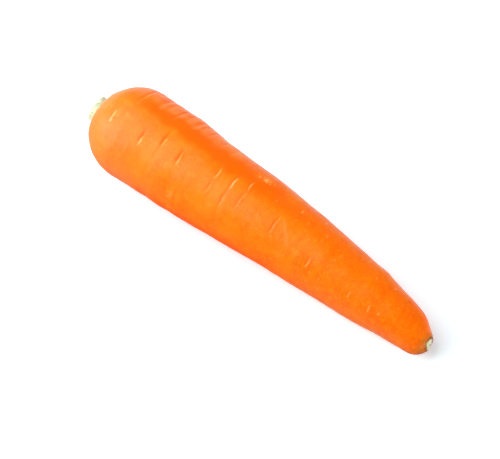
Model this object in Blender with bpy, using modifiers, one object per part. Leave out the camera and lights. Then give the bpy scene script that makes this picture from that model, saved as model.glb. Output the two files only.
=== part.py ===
"""A trimmed carrot lying on its side: one grown root, and the cut leaf stalks that stand on its crown.

Metres, +Z up. The crown points along -X and the tip along +X. The origin is on the table, under the
middle of the carrot's bounding box.
"""

import math

import bmesh
import bpy
from mathutils import Vector

# Root: driving dimensions, in metres. A station is a distance from the crown end, along the root.
ROOT_LENGTH = 0.190
SHOULDER_RADIUS = 0.0229
EVEN_TAPER = 0.063  # share of the radius lost evenly along the root
CURVED_TAPER = 0.537  # share lost with this power of the distance, so most of it near the tip
TAPER_POWER = 1.87
CROWN_DOME = 0.0242  # length of the rounded crown end
CROWN_FULLNESS = 2.1  # superellipse exponent: 2 is an ellipse, more is squarer
TIP_DOME = 0.0263
TIP_FULLNESS = 2.32

# Root: how far it is from a true turned shape.
SIDE_BOW = 0.0008  # the middle stands this far to +Y of a straight line between the ends
SIDE_SKEW = 0.00185  # and the tip half bows more than the crown half by this
CROWN_SHIFT = -0.0009  # the crown's middle is off to -Y
LOBES = ((2, 0.015, -2.27, 2.07), (3, 0.016, 2.98, -1.65))  # waves round, depth, start, twist in radians
FLAT_DEPTH = 0.0002  # the underside is pressed flat where it lies on the table

# Crown recess, which the leaf stalks grow from.
RECESS_FLOOR_RADIUS = 0.0069
RECESS_RIM_RADIUS = 0.0092
RECESS_DEPTH = 0.0039

# Cut leaf stalks. Each ring: name, count, middle radius, thickness, height, lean outwards, turn.
STALK_RINGS = (
    ("inner", 3, 0.00125, 0.0012, 0.0051, math.radians(2), math.radians(20)),
    ("middle", 5, 0.00295, 0.0016, 0.0048, math.radians(4), math.radians(65)),
    ("outer", 6, 0.00505, 0.0020, 0.0043, math.radians(7), math.radians(38)),
)
STALK_CORNER = 0.36  # rounding of a stalk's corners, as a share of its thickness
STALK_EDGE = 0.00022  # rounding of its cut edge
STEM_RADIUS = 0.0063
STEM_HEIGHT = 0.0010
GAP = 0.0003  # kept between pieces that touch on the real carrot

# Fineness of the meshes.
MERGE_DISTANCE = 1e-6
ROOT_SEGMENTS = 40
STEM_SEGMENTS = 28
STALK_ARC_STEPS = 6
STALK_CORNER_STEPS = 2
RECESS_STEPS = 6
CROWN_STEPS = 10
BODY_STEPS = 16
TIP_STEPS = 9

ROOT_LOOK = ("carrot_skin", (0.93, 0.24, 0.02), 0.42)
STALK_LOOK = ("leaf_stalk", (0.72, 0.76, 0.45), 0.6)
STEM_LOOK = ("crown_stem", (0.62, 0.60, 0.30), 0.65)


def clear_scene():
    for obj in list(bpy.data.objects):
        bpy.data.objects.remove(obj)


def make_collection(name):
    made = bpy.data.collections.new(name)
    bpy.context.scene.collection.children.link(made)
    return made


def make_material(name, colour, roughness):
    made = bpy.data.materials.new(name)
    made.use_nodes = True
    shader = made.node_tree.nodes["Principled BSDF"]
    shader.inputs["Base Color"].default_value = (*colour, 1.0)
    shader.inputs["Roughness"].default_value = roughness
    shader.inputs["Metallic"].default_value = 0.0
    return made


def add_object(name, data, look, collection):
    obj = bpy.data.objects.new(name, data)
    data.materials.append(look)
    collection.objects.link(obj)
    return obj


def body_radius(station):
    """Radius of the root's long taper, as if it had no rounded ends."""
    along = station / ROOT_LENGTH
    return SHOULDER_RADIUS * (1 - EVEN_TAPER * along - CURVED_TAPER * along**TAPER_POWER)


def recess(radius):
    """How deep the crown's end is sunk at this radius: all of it inside, and none past the rim."""
    share = (radius - RECESS_FLOOR_RADIUS) / (RECESS_RIM_RADIUS - RECESS_FLOOR_RADIUS)
    share = min(max(share, 0.0), 1.0)
    return RECESS_DEPTH * (1 - share * share * (3 - 2 * share))


def crown_station(radius):
    """Station of the crown's end surface at this radius."""
    share = min(radius / SHOULDER_RADIUS, 1.0)
    drop = (1 - share**CROWN_FULLNESS) ** (1 / CROWN_FULLNESS)
    return CROWN_DOME * (1 - drop) + recess(radius)


def root_profile():
    """(radius, station) points from the middle of the crown, over its rim and along the root to the tip."""
    points = [(0.0, crown_station(0.0))]
    for step in range(RECESS_STEPS):
        share = step / (RECESS_STEPS - 1)
        radius = RECESS_FLOOR_RADIUS + (RECESS_RIM_RADIUS - RECESS_FLOOR_RADIUS) * share
        points.append((radius, crown_station(radius)))
    rim_turn = math.asin((RECESS_RIM_RADIUS / SHOULDER_RADIUS) ** (CROWN_FULLNESS / 2))
    for step in range(1, CROWN_STEPS + 1):
        turn = rim_turn + (math.pi / 2 - rim_turn) * step / CROWN_STEPS
        station = CROWN_DOME * (1 - max(math.cos(turn), 0.0) ** (2 / CROWN_FULLNESS))
        points.append((body_radius(station) * math.sin(turn) ** (2 / CROWN_FULLNESS), station))
    body_end = ROOT_LENGTH - TIP_DOME
    for step in range(1, BODY_STEPS + 1):
        station = CROWN_DOME + (body_end - CROWN_DOME) * step / BODY_STEPS
        points.append((body_radius(station), station))
    for step in range(1, TIP_STEPS + 1):
        turn = math.pi / 2 * step / TIP_STEPS
        station = body_end + TIP_DOME * math.sin(turn) ** (2 / TIP_FULLNESS)
        points.append((body_radius(station) * max(math.cos(turn), 0.0) ** (2 / TIP_FULLNESS), station))
    points[-1] = (0.0, ROOT_LENGTH)
    return points


def lobed(angle, station):
    """Share by which the section stands out at this angle, measured from straight up towards +Y."""
    along = station / ROOT_LENGTH
    waves = (depth * math.cos(count * angle + start + twist * along) for count, depth, start, twist in LOBES)
    return 1 + sum(waves)


def centre_line(station):
    """(y, z) of the middle of the root. Its height follows the taper, so the underside is straight."""
    along = station / ROOT_LENGTH
    arch = 4 * along * (1 - along)
    crown_share = max(1 - station / CROWN_DOME, 0.0)
    side = SIDE_BOW * arch + SIDE_SKEW * 2 * arch * (along - 0.5) + CROWN_SHIFT * crown_share**2
    return side, body_radius(station) * lobed(math.pi, station)


def turned_mesh(name, points, segments):
    """A mesh turned about Z from (radius, height) points that run from top to bottom."""
    outline = bpy.data.meshes.new(name + "_profile")
    edges = [(i, i + 1) for i in range(len(points) - 1)]
    outline.from_pydata([(radius, 0.0, height) for radius, height in points], edges, [])
    turned = bpy.data.objects.new(name + "_profile", outline)
    bpy.context.scene.collection.objects.link(turned)
    screw = turned.modifiers.new("turn", "SCREW")
    screw.steps = segments
    screw.render_steps = segments
    screw.use_merge_vertices = True
    screw.merge_threshold = MERGE_DISTANCE
    bpy.context.view_layer.update()
    graph = bpy.context.evaluated_depsgraph_get()
    mesh = bpy.data.meshes.new_from_object(turned.evaluated_get(graph))
    bpy.data.objects.remove(turned)
    mesh.name = name
    return mesh


def press_flat(mesh, depth):
    """Cuts the mesh level at this height and closes the cut with one flat face."""
    work = bmesh.new()
    work.from_mesh(mesh)
    bmesh.ops.bisect_plane(
        work,
        geom=[*work.verts, *work.edges, *work.faces],
        dist=MERGE_DISTANCE / 10,
        plane_co=(0, 0, depth),
        plane_no=(0, 0, -1),
        clear_outer=True,
    )
    rim = [edge for edge in work.edges if edge.is_boundary]
    bmesh.ops.holes_fill(work, edges=rim, sides=0)
    bmesh.ops.recalc_face_normals(work, faces=work.faces)
    work.to_mesh(mesh)
    work.free()


def make_root(look, collection):
    """The grown root: turned upright, then laid down along +X, bowed, lobed and pressed flat underneath."""
    profile = [(radius, -station) for radius, station in root_profile()]
    mesh = turned_mesh("root", profile, ROOT_SEGMENTS)
    for vertex in mesh.vertices:
        radius = math.hypot(vertex.co.x, vertex.co.y)
        angle = math.atan2(vertex.co.y, vertex.co.x)
        station = -vertex.co.z
        side, height = centre_line(station)
        reach = radius * lobed(angle, station)
        vertex.co = (station, side + reach * math.sin(angle), height + reach * math.cos(angle))
    press_flat(mesh, FLAT_DEPTH)
    mesh.shade_smooth()
    return add_object("root", mesh, look, collection)


def make_crown_frame(collection):
    """An empty in the middle of the recess floor, with its +Z pointing out of the crown."""
    frame = bpy.data.objects.new("crown_frame", None)
    collection.objects.link(frame)
    side, height = centre_line(RECESS_DEPTH)
    frame.location = (RECESS_DEPTH, side, height)
    frame.rotation_euler = (0, -math.pi / 2, 0)
    return frame


def make_stem(look, collection, frame):
    """The squat stem that all the leaf stalks stand on."""
    edge = STEM_HEIGHT / 3
    points = [
        (0.0, STEM_HEIGHT),
        (STEM_RADIUS - edge, STEM_HEIGHT),
        (STEM_RADIUS, STEM_HEIGHT - edge),
        (STEM_RADIUS, edge),
        (STEM_RADIUS - edge, 0.0),
        (0.0, 0.0),
    ]
    mesh = turned_mesh("crown_stem", points, STEM_SEGMENTS)
    mesh.shade_smooth()
    mesh.set_sharp_from_angle(angle=math.radians(30))
    stem = add_object("crown_stem", mesh, look, collection)
    stem.parent = frame
    stem.location = (0, 0, GAP)
    return stem


def crescent_outline(middle, thickness, half_angle):
    """Points round a stalk's cut end: an oblong with round corners, bent to lie along its ring."""
    corner = thickness * STALK_CORNER
    end = middle * half_angle - corner
    edge = thickness / 2 - corner
    oblong = []
    for quarter, (side, rise) in enumerate(((1, 1), (-1, 1), (-1, -1), (1, -1))):
        for step in range(STALK_CORNER_STEPS + 1):
            turn = math.pi / 2 * (quarter + step / STALK_CORNER_STEPS)
            oblong.append((side * end + corner * math.cos(turn), rise * edge + corner * math.sin(turn)))
        if side == rise:
            shares = [1 - 2 * step / STALK_ARC_STEPS for step in range(1, STALK_ARC_STEPS)]
            oblong += [(side * end * share, rise * thickness / 2) for share in shares]
    points = []
    for along, rise in oblong:
        angle = -along / middle
        points.append(((middle + rise) * math.cos(angle), (middle + rise) * math.sin(angle)))
    return points


def make_stalk(name, outline, height, look, collection):
    """One leaf stalk: its flat outline, thickened to its height, with rounded edges."""
    curve = bpy.data.curves.new(name, "CURVE")
    curve.dimensions = "2D"
    curve.fill_mode = "BOTH"
    curve.extrude = height / 2 - STALK_EDGE
    curve.bevel_depth = STALK_EDGE
    curve.bevel_resolution = 0
    curve.offset = -STALK_EDGE
    spline = curve.splines.new("POLY")
    spline.points.add(len(outline) - 1)
    for point, (x, y) in zip(spline.points, outline):
        point.co = (x, y, 0, 1)
    spline.use_cyclic_u = True
    return add_object(name, curve, look, collection)


def make_stalks(look, collection, frame):
    """Three nested rings of crescent stalks, each ring turned so that it covers the gaps of the next."""
    base = GAP + STEM_HEIGHT + GAP
    for ring, count, middle, thickness, height, lean, turn in STALK_RINGS:
        outline = crescent_outline(middle, thickness, math.pi / count - GAP / 2 / (middle - thickness / 2))
        centred = [(x - middle, y) for x, y in outline]
        lift = thickness / 2 * math.sin(lean) + height / 2 * math.cos(lean)
        reach = middle + height / 2 * math.sin(lean)
        for index in range(count):
            stalk = make_stalk(f"{ring}_leaf_stalk_{index + 1}", centred, height, look, collection)
            heading = turn + 2 * math.pi * index / count
            stalk.parent = frame
            stalk.location = (reach * math.cos(heading), reach * math.sin(heading), base + lift)
            stalk.rotation_euler = (0, lean, heading)


def centre_on_origin(frame, parts):
    """Moves the empty that will carry the parts so that their box's bottom centre comes to the origin."""
    bpy.context.view_layer.update()
    graph = bpy.context.evaluated_depsgraph_get()
    corners = []
    for part in parts:
        shown = part.evaluated_get(graph)
        mesh = shown.to_mesh()
        corners += [shown.matrix_world @ vertex.co for vertex in mesh.vertices]
        shown.to_mesh_clear()
    low = Vector([min(corner[axis] for corner in corners) for axis in range(3)])
    high = Vector([max(corner[axis] for corner in corners) for axis in range(3)])
    frame.location = (-(low.x + high.x) / 2, -(low.y + high.y) / 2, -low.z)


def main():
    clear_scene()
    collection = make_collection("carrot")
    whole = bpy.data.objects.new("carrot_frame", None)
    collection.objects.link(whole)
    root = make_root(make_material(*ROOT_LOOK), collection)
    crown_frame = make_crown_frame(collection)
    make_stem(make_material(*STEM_LOOK), collection, crown_frame)
    make_stalks(make_material(*STALK_LOOK), collection, crown_frame)
    parts = [obj for obj in collection.objects if obj.type != "EMPTY"]
    centre_on_origin(whole, parts)
    root.parent = whole
    crown_frame.parent = whole


main()
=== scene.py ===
"""Looks for a trimmed carrot that lies on a pale studio floor, its crown to -X and its tip to +X.

Shapes are worked out in millimetres on a root 190 mm long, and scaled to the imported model. An angle
on the root is measured round it from straight up, positive towards +Y; a station is a distance from
the crown end.
"""

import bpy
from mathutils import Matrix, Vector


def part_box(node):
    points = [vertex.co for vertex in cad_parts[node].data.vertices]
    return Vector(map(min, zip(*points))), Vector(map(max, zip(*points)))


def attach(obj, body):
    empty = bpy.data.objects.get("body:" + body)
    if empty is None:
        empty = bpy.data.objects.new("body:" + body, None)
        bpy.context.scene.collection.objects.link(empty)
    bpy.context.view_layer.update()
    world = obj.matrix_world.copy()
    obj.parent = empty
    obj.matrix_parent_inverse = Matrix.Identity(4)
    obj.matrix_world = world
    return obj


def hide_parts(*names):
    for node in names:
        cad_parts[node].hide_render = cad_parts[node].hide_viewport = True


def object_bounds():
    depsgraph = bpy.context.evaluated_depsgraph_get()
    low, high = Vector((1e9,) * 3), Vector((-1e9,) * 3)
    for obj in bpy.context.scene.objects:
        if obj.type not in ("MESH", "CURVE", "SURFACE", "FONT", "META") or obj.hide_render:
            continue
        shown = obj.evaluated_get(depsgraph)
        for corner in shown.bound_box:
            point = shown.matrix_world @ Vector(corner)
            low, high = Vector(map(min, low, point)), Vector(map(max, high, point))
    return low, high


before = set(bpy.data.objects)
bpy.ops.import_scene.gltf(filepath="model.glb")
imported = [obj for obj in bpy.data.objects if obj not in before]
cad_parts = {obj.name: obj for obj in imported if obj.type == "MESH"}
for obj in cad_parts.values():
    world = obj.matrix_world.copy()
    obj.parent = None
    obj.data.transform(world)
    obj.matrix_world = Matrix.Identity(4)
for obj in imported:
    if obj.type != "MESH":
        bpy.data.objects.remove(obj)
CAD_BOX = [list(corner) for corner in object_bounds()]

import math
from types import SimpleNamespace

import bpy
import numpy as np
from mathutils import Vector

# The root's shape, as the solid model has it, in millimetres.
ROOT_LENGTH = 190.0
RIM_TO_TIP = 188.23
SHOULDER_RADIUS = 22.9
EVEN_TAPER = 0.063
CURVED_TAPER = 0.537
TAPER_POWER = 1.87
CROWN_DOME = 24.2
CROWN_FULLNESS = 2.1
TIP_DOME = 26.3
TIP_FULLNESS = 2.32
SIDE_BOW = 0.8
SIDE_SKEW = 1.85
CROWN_SHIFT = -0.9
LOBES = ((2, 0.015, -2.27, 2.07), (3, 0.016, 2.98, -1.65))  # waves round, depth, start, twist in radians
FLAT_DEPTH = 0.2
RECESS_FLOOR_RADIUS = 6.9
RECESS_RIM_RADIUS = 9.2
RECESS_DEPTH = 3.9

# The root's fine mesh.
RINGS = 610
SEGMENTS = 160

# Cut leaf stalks: middle radius and thickness of each ring of stalks, in millimetres.
STALK_RINGS = {"inner": (1.25, 1.3), "middle": (2.95, 1.75), "outer": (5.05, 2.2)}
STALK_GAP = 0.12
STALK_OUTLINE = 48
STALK_LEVELS = 16
STALK_FACE_RINGS = 7
STALK_FACE_DISH = 0.42
# Dried shreds round the stalks, and torn fibres at the cut tail.
SHREDS = 84
SHRED_THICKNESS = 0.13
TAIL_FIBRES = 22
TAIL_FIBRE_THICKNESS = 0.12
TAIL_FIBRE_LOWEST = 0.25  # height above the floor

# Where things are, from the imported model.
ROOT_LOW, ROOT_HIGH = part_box("root")
STEM_LOW, STEM_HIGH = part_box("crown_stem")
MM = (ROOT_HIGH.x - ROOT_LOW.x) / RIM_TO_TIP  # metres in one millimetre of the sizes above
TIP_X = ROOT_HIGH.x / MM
RECESS_FLOOR_X = TIP_X - ROOT_LENGTH + RECESS_DEPTH
STEM_MIDDLE_Y = (STEM_LOW.y + STEM_HIGH.y) / 2 / MM
STEM_MIDDLE_Z = (STEM_LOW.z + STEM_HIGH.z) / 2 / MM

# Cross scars and pale flecks: station, angle and half arc in degrees, width, depth, paleness.
CHOSEN_SCARS = (
    (10.6, -9, 8, 0.34, 0.04, 0.30),
    (14.4, -19, 8, 0.38, 0.07, 0.85),
    (14.7, -26, 2.4, 0.50, 0.04, 1.00),
    (32.4, -20, 12, 0.46, 0.28, 0.00),
    (32.8, -27, 6, 0.34, 0.05, 0.75),
    (42.0, -9, 14, 0.50, 0.34, 0.00),
    (42.2, -30, 8, 0.36, 0.08, 0.05),
    (42.5, -12, 8, 0.32, 0.03, 0.30),
    (47.7, -110, 7, 0.90, 0.10, 0.80),
    (52.3, -16, 12, 0.48, 0.30, 0.05),
    (52.9, -22, 5.5, 0.42, 0.04, 0.42),
    (71.0, -5, 9, 0.36, 0.14, 0.60),
    (71.2, -25, 12, 0.44, 0.13, 0.04),
    (79.3, -5, 11, 0.36, 0.13, 0.85),
    (79.3, -29, 14, 0.46, 0.16, 0.06),
    (85.8, 30.5, 3.2, 0.45, 0.03, 0.55),
    (86.1, 7, 9, 0.32, 0.09, 0.55),
    (86.2, -18, 15, 0.46, 0.16, 0.03),
    (86.7, -108, 4, 0.60, 0.04, 0.70),
    (87.3, 35.5, 2.4, 0.40, 0.02, 0.65),
    (88.6, 33, 5, 0.75, 0.04, 0.90),
    (89.5, 30, 2.5, 0.50, 0.00, 0.60),
    (90.6, 35, 2.8, 0.42, 0.03, 0.62),
    (91.6, 29.5, 2.0, 0.40, 0.00, 0.48),
    (93.2, 34, 2.4, 0.40, 0.02, 0.50),
    (105.2, -19, 17, 0.44, 0.20, 0.08),
    (111.0, 27, 4, 0.36, 0.04, 0.60),
    (121.7, 43, 5, 0.36, 0.05, 0.60),
    (126.8, -38, 10, 0.36, 0.11, 0.35),
    (144.8, 32, 6, 0.32, 0.04, 0.30),
    (147.6, 46, 7, 0.34, 0.05, 0.45),
    (149.4, -43, 8, 0.34, 0.10, 0.32),
    (155.2, 18, 4, 0.32, 0.03, 0.35),
    (159.8, -43, 9, 0.34, 0.10, 0.38),
    (164.0, 33, 7, 0.32, 0.05, 0.38),
    (164.8, -40, 5, 0.32, 0.06, 0.36),
)
# The darkening beside a scar is painted shade.
DEEP_SCAR = 0.2  # depth from which the skin beside a scar is fully dark
# Pale dots: station and angle of each; then the half arc, width, depth and paleness of them all.
PALE_DOTS = ((121.3, -6), (126.6, 18), (134.6, 12), (136.1, -8))
DOT_SIZES = (1.4, 0.34, 0.02, 0.5)
# Fine scratches: station and angle of each end.
SCRATCHES = ((106.6, -1, 115.0, -36), (107.6, -3, 116.2, -35))
SCRATCH_WIDTH = 0.24
SCRATCH_DEPTH = 0.035
SCRATCH_PALENESS = 0.15
# Rows in which side roots grew, on the +Y side and underneath: the angle of each.
SIDE_ROOT_ROWS = (96, 128, 163, 199, 230)
FLECKS_BELOW = 70
FLECKS_TIPWARD = 46
# Folds over the shoulder's +Y side: station and depth of each, then what they share.
FOLDS = (
    (12.0, 0.07), (16.2, 0.12), (20.6, 0.15), (24.4, 0.18), (29.7, 0.24),
    (33.1, 0.12), (35.2, 0.22), (38.9, 0.26), (43.0, 0.25), (45.1, 0.12),
    (48.3, 0.22), (51.5, 0.15), (56.3, 0.28), (63.5, 0.08), (70.0, 0.07),
)
FOLD_ANGLE = 51  # degrees, as is the next
FOLD_HALF_ARC = 23
FOLD_WIDTH = 0.62
# How strongly the painted highlight along each fold is laid on.
FOLD_PALENESS = 0.18
FOLD_SLANT = 0.08
# Lumps and hollows in the outline: station, angle, half length, half arc in degrees, height.
LUMPS = (
    (24, 66, 9, 34, -0.60),
    (44, 66, 8, 28, 0.50),
    (66, 66, 10, 28, -0.25),
    (97, 66, 8, 28, 0.30),
    (120, 66, 9, 28, 0.30),
    (150, -114, 8, 38, 0.50),
    (156, 66, 5, 34, 0.45),
    (167, 66, 4, 34, -0.30),
    (168, -114, 5, 34, -0.45),
    (180, 60, 5, 38, 0.50),
    (184.5, -110, 5.5, 46, 2.00),
    (186, 62, 2.5, 34, -0.35),
)
# Radial folds round the recess: how many, how deep, and the roughness of the corky wall inside them.
CROWN_FOLDS = 17
CROWN_FOLD_DEPTH = 0.34
CORK_HEIGHT = 0.16
# Painted shade in two deep orange bands, one along the top and one low on the -Y side: angles in degrees,
# half width in radians.
TOP_BAND_ANGLE = 19
LOW_BAND_ANGLE = -105
BAND_HALF_WIDTH = 0.21
TOP_BAND_START = 0.13  # the top band's half width at the shoulder
TOP_BAND_TURN = 0.0003  # how far it turns on its way to the tip, in radians a millimetre
# The oblique cut where the tail was trimmed: distance and angle from the tip, and depth at its middle.
CUT_REACH = 1.2
CUT_ANGLE = -12
CUT_DEPTH = 0.85
TAIL_START = 150  # station beyond which the trimming leaves its marks


# -------------------------------- shape of the root


def smoothstep(low, high, value):
    share = np.clip((value - low) / (high - low), 0, 1)
    return share * share * (3 - 2 * share)


def superellipse(share, fullness):
    return (1 - np.clip(share, 0, 1) ** fullness) ** (1 / fullness)


def body_radius(station):
    along = station / ROOT_LENGTH
    return SHOULDER_RADIUS * (1 - EVEN_TAPER * along - CURVED_TAPER * along**TAPER_POWER)


def root_radius(station):
    """Radius of the root outside its recess."""
    crown = superellipse(1 - station / CROWN_DOME, CROWN_FULLNESS)
    tip = superellipse(1 - (ROOT_LENGTH - station) / TIP_DOME, TIP_FULLNESS)
    return body_radius(station) * crown * tip


def crown_station(radius):
    """Station of the crown's end surface at this radius, recess included."""
    dome = CROWN_DOME * (1 - superellipse(radius / SHOULDER_RADIUS, CROWN_FULLNESS))
    return dome + RECESS_DEPTH * (1 - smoothstep(RECESS_FLOOR_RADIUS, RECESS_RIM_RADIUS, radius))


def lobed(angle, station):
    """How far the root stands out at this angle, as a share of its radius."""
    along = station / ROOT_LENGTH
    waves_round = [d * np.cos(n * angle + start + twist * along) for n, d, start, twist in LOBES]
    return 1 + sum(waves_round)


def centre_line(station):
    """(y, z) of the root's middle, before it is laid on the floor."""
    along = station / ROOT_LENGTH
    arch = 4 * along * (1 - along)
    crown_share = np.clip(1 - station / CROWN_DOME, 0, 1)
    side = SIDE_BOW * arch + SIDE_SKEW * 2 * arch * (along - 0.5) + CROWN_SHIFT * crown_share**2
    return side, body_radius(station) * lobed(np.pi, station)


SIDE_OFFSET = STEM_MIDDLE_Y - centre_line(np.array(RECESS_DEPTH))[0]


def ring_density(radius, station):
    """How close together the rings lie: fine round the recess's wall and over the cut tail."""
    at_wall = smoothstep(6.0, 7.0, radius) * (1 - smoothstep(9.5, 12.0, radius))
    crown_end = 0.3 + 0.7 * smoothstep(5.5, 6.5, radius) + 0.8 * at_wall * (station < CROWN_DOME)
    tip_end = 1 + 2.4 * (1 - smoothstep(2.0, 5.5, radius))
    return np.where(station > ROOT_LENGTH / 2, tip_end, crown_end)


def ring_profile():
    """(radius, station) of each ring, from the middle of the recess to the tip."""
    recess_radius = np.linspace(0.3, RECESS_RIM_RADIUS, 300)
    rim_station = crown_station(np.array(RECESS_RIM_RADIUS))
    sweep = (1 - np.cos(np.linspace(0, np.pi, 6000))) / 2
    outer_station = rim_station + (ROOT_LENGTH - rim_station) * sweep[1:]
    radius = np.concatenate([recess_radius, root_radius(outer_station)])
    station = np.concatenate([crown_station(recess_radius), outer_station])
    step = np.hypot(np.diff(radius), np.diff(station))
    density = ring_density((radius[1:] + radius[:-1]) / 2, (station[1:] + station[:-1]) / 2)
    travel = np.concatenate([[0], np.cumsum(step * density)])
    wanted = np.linspace(0, travel[-1], RINGS + 1)[:-1]
    return np.interp(wanted, travel, radius), np.interp(wanted, travel, station)


def on_root(station, angle, reach):
    """Points in millimetres at this distance from the centre line."""
    side, height = centre_line(station)
    x = TIP_X - (ROOT_LENGTH - station) + 0 * angle
    y = SIDE_OFFSET + side + reach * np.sin(angle)
    z = height - FLAT_DEPTH + reach * np.cos(angle)
    return np.stack([x, y, z], axis=-1)


def grid_normals(points):
    """Outward normals of a grid of points whose columns close round the root."""
    along = np.gradient(points, axis=0)
    around = np.roll(points, -1, axis=1) - np.roll(points, 1, axis=1)
    normals = np.cross(along, around)
    normals /= np.maximum(np.linalg.norm(normals, axis=-1, keepdims=True), 1e-9)
    return normals


def waves(points, size, seed):
    """Smooth irregular swells of about this size at these points, mostly between -1 and 1."""
    count = 28
    rng = np.random.default_rng(seed)
    headings = rng.normal(size=(count, 3))
    headings /= np.linalg.norm(headings, axis=1, keepdims=True)
    rates = 2 * np.pi / size * rng.uniform(0.6, 1.5, count)
    starts = rng.uniform(0, 2 * np.pi, count)
    flat = points.reshape(-1, 3)
    total = np.zeros(len(flat))
    for heading, rate, start in zip(headings, rates, starts):
        total += np.sin(flat @ heading * rate + start)
    return (total / math.sqrt(count / 2)).reshape(points.shape[:-1])


# -------------------------------- marks in the skin


def bare_skin():
    """The root's grid before any mark: where each point is, which way it faces, and its masks."""
    radius, station = ring_profile()
    angle = np.linspace(-np.pi, np.pi, SEGMENTS, endpoint=False)
    round_grid = lobed(angle[None, :], station[:, None])
    points = on_root(station[:, None], angle[None, :], radius[:, None] * round_grid)
    skin = SimpleNamespace(radius=radius, station=station, angle=angle, points=points)
    skin.normals = grid_normals(points)
    skin.outside = np.arange(RINGS) > np.argmax(radius >= RECESS_RIM_RADIUS)
    skin.height = np.zeros((RINGS, SEGMENTS))
    skin.pale = np.zeros((RINGS, SEGMENTS))
    skin.crease = np.zeros((RINGS, SEGMENTS))
    return skin


def wrapped(angle):
    return (angle + np.pi) % (2 * np.pi) - np.pi


def bell(distance, width):
    """1 in the middle, and falling smoothly to nothing at about twice this width."""
    return np.exp(-((distance / width) ** 2))


def cut_scar(skin, station, angle, half_arc, width, depth, paleness, slant=0.0):
    """One cross scar: a groove with a raised lip on its tip side, pale cork along it, and painted shade on
    its crown side. On a fold the pale line is a painted highlight.
    """
    rows = skin.outside & (np.abs(skin.station - station) < 5 * width + 1)
    across = wrapped(skin.angle[None, :] - math.radians(angle)) * skin.radius[rows, None]
    reach = math.radians(half_arc) * skin.radius[rows, None]
    inside = np.clip(1 - (across / reach) ** 2, 0, 1)
    waver = 0.14 * np.sin(1.1 * across + station) + slant * across
    along = (skin.station[rows, None] - station - waver) / width  # in widths of the groove
    groove = bell(along, 1.0) * inside
    lip = bell(along - 2.2, 1.4) * inside
    cork = bell(along - 0.5, 0.8) * inside
    # Painted shade on the groove's crown side.
    dark = bell(along + 1.4, 2.1) * inside
    skin.height[rows] += depth * (0.45 * lip - groove)
    skin.pale[rows] = np.maximum(skin.pale[rows], paleness * cork)
    skin.crease[rows] = np.maximum(skin.crease[rows], min(depth / DEEP_SCAR, 1) * dark)


def draw_scratch(skin, start_station, start_angle, end_station, end_angle):
    """A fine shallow line from one point of the skin to another."""
    rows = skin.outside & (skin.station > start_station - 1) & (skin.station < end_station + 1)
    middle_station = (start_station + end_station) / 2
    middle_angle = math.radians((start_angle + end_angle) / 2)
    middle_radius = float(np.interp(middle_station, skin.station, skin.radius))
    across = wrapped(skin.angle[None, :] - middle_angle) * middle_radius
    along = skin.station[rows, None] - middle_station
    run = end_station - start_station
    rise = math.radians(end_angle - start_angle) * middle_radius
    length = math.hypot(run, rise)
    forward = (along * run + across * rise) / length
    sideways = (across * run - along * rise) / length
    inside = np.clip(1 - (2 * forward / length) ** 2, 0, 1) ** 0.5
    line = bell(sideways, SCRATCH_WIDTH) * inside
    skin.height[rows] -= SCRATCH_DEPTH * line
    skin.pale[rows] = np.maximum(skin.pale[rows], SCRATCH_PALENESS * line)


def scatter_scars(skin):
    """Side-root scars and small flecks underneath and on the +Y side, and fine flecks over the tip half."""
    rng = np.random.default_rng(41)
    for row_angle in SIDE_ROOT_ROWS:
        station = rng.uniform(12, 22)
        while station < 178:
            angle = row_angle + rng.normal(0, 7)
            half_arc = rng.uniform(5, 13)
            depth = rng.uniform(0.05, 0.2)
            cut_scar(skin, station, angle, half_arc, rng.uniform(0.34, 0.5), depth, rng.uniform(0.1, 0.8))
            station += rng.uniform(7, 18)
    for _ in range(FLECKS_BELOW):
        station = rng.uniform(8, 180)
        angle = rng.uniform(80, 240)
        half_arc = rng.uniform(1.2, 3.5)
        cut_scar(skin, station, angle, half_arc, width=0.32, depth=0.03, paleness=rng.uniform(0.08, 0.3))
    for _ in range(FLECKS_TIPWARD):
        station = rng.uniform(96, 184)
        angle = rng.uniform(-75, 66)
        half_arc = rng.uniform(1.0, 3.2)
        cut_scar(skin, station, angle, half_arc, width=0.30, depth=0.02, paleness=rng.uniform(0.10, 0.34))


def add_folds(skin):
    """Shallow folds across the shoulder, uneven in their place, length, width and depth, each with a painted
    highlight along it and painted shade beside it.
    """
    for index, (station, depth) in enumerate(FOLDS):
        turn = FOLD_ANGLE + 9 * math.sin(2.3 * index)
        half_arc = FOLD_HALF_ARC + 11 * math.sin(3.7 * index)
        width = FOLD_WIDTH + 0.2 * math.sin(5.1 * index)
        cut_scar(skin, station, turn, half_arc, width, 1.2 * depth, FOLD_PALENESS, FOLD_SLANT)


def add_lumps(skin):
    """The uneven outline of this root."""
    for station, angle, half_length, half_arc, height in LUMPS:
        along = (skin.station[:, None] - station) / half_length
        across = wrapped(skin.angle[None, :] - math.radians(angle)) / math.radians(half_arc)
        skin.height += height * np.exp(-(along**2) - across**2) * skin.outside[:, None]


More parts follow.
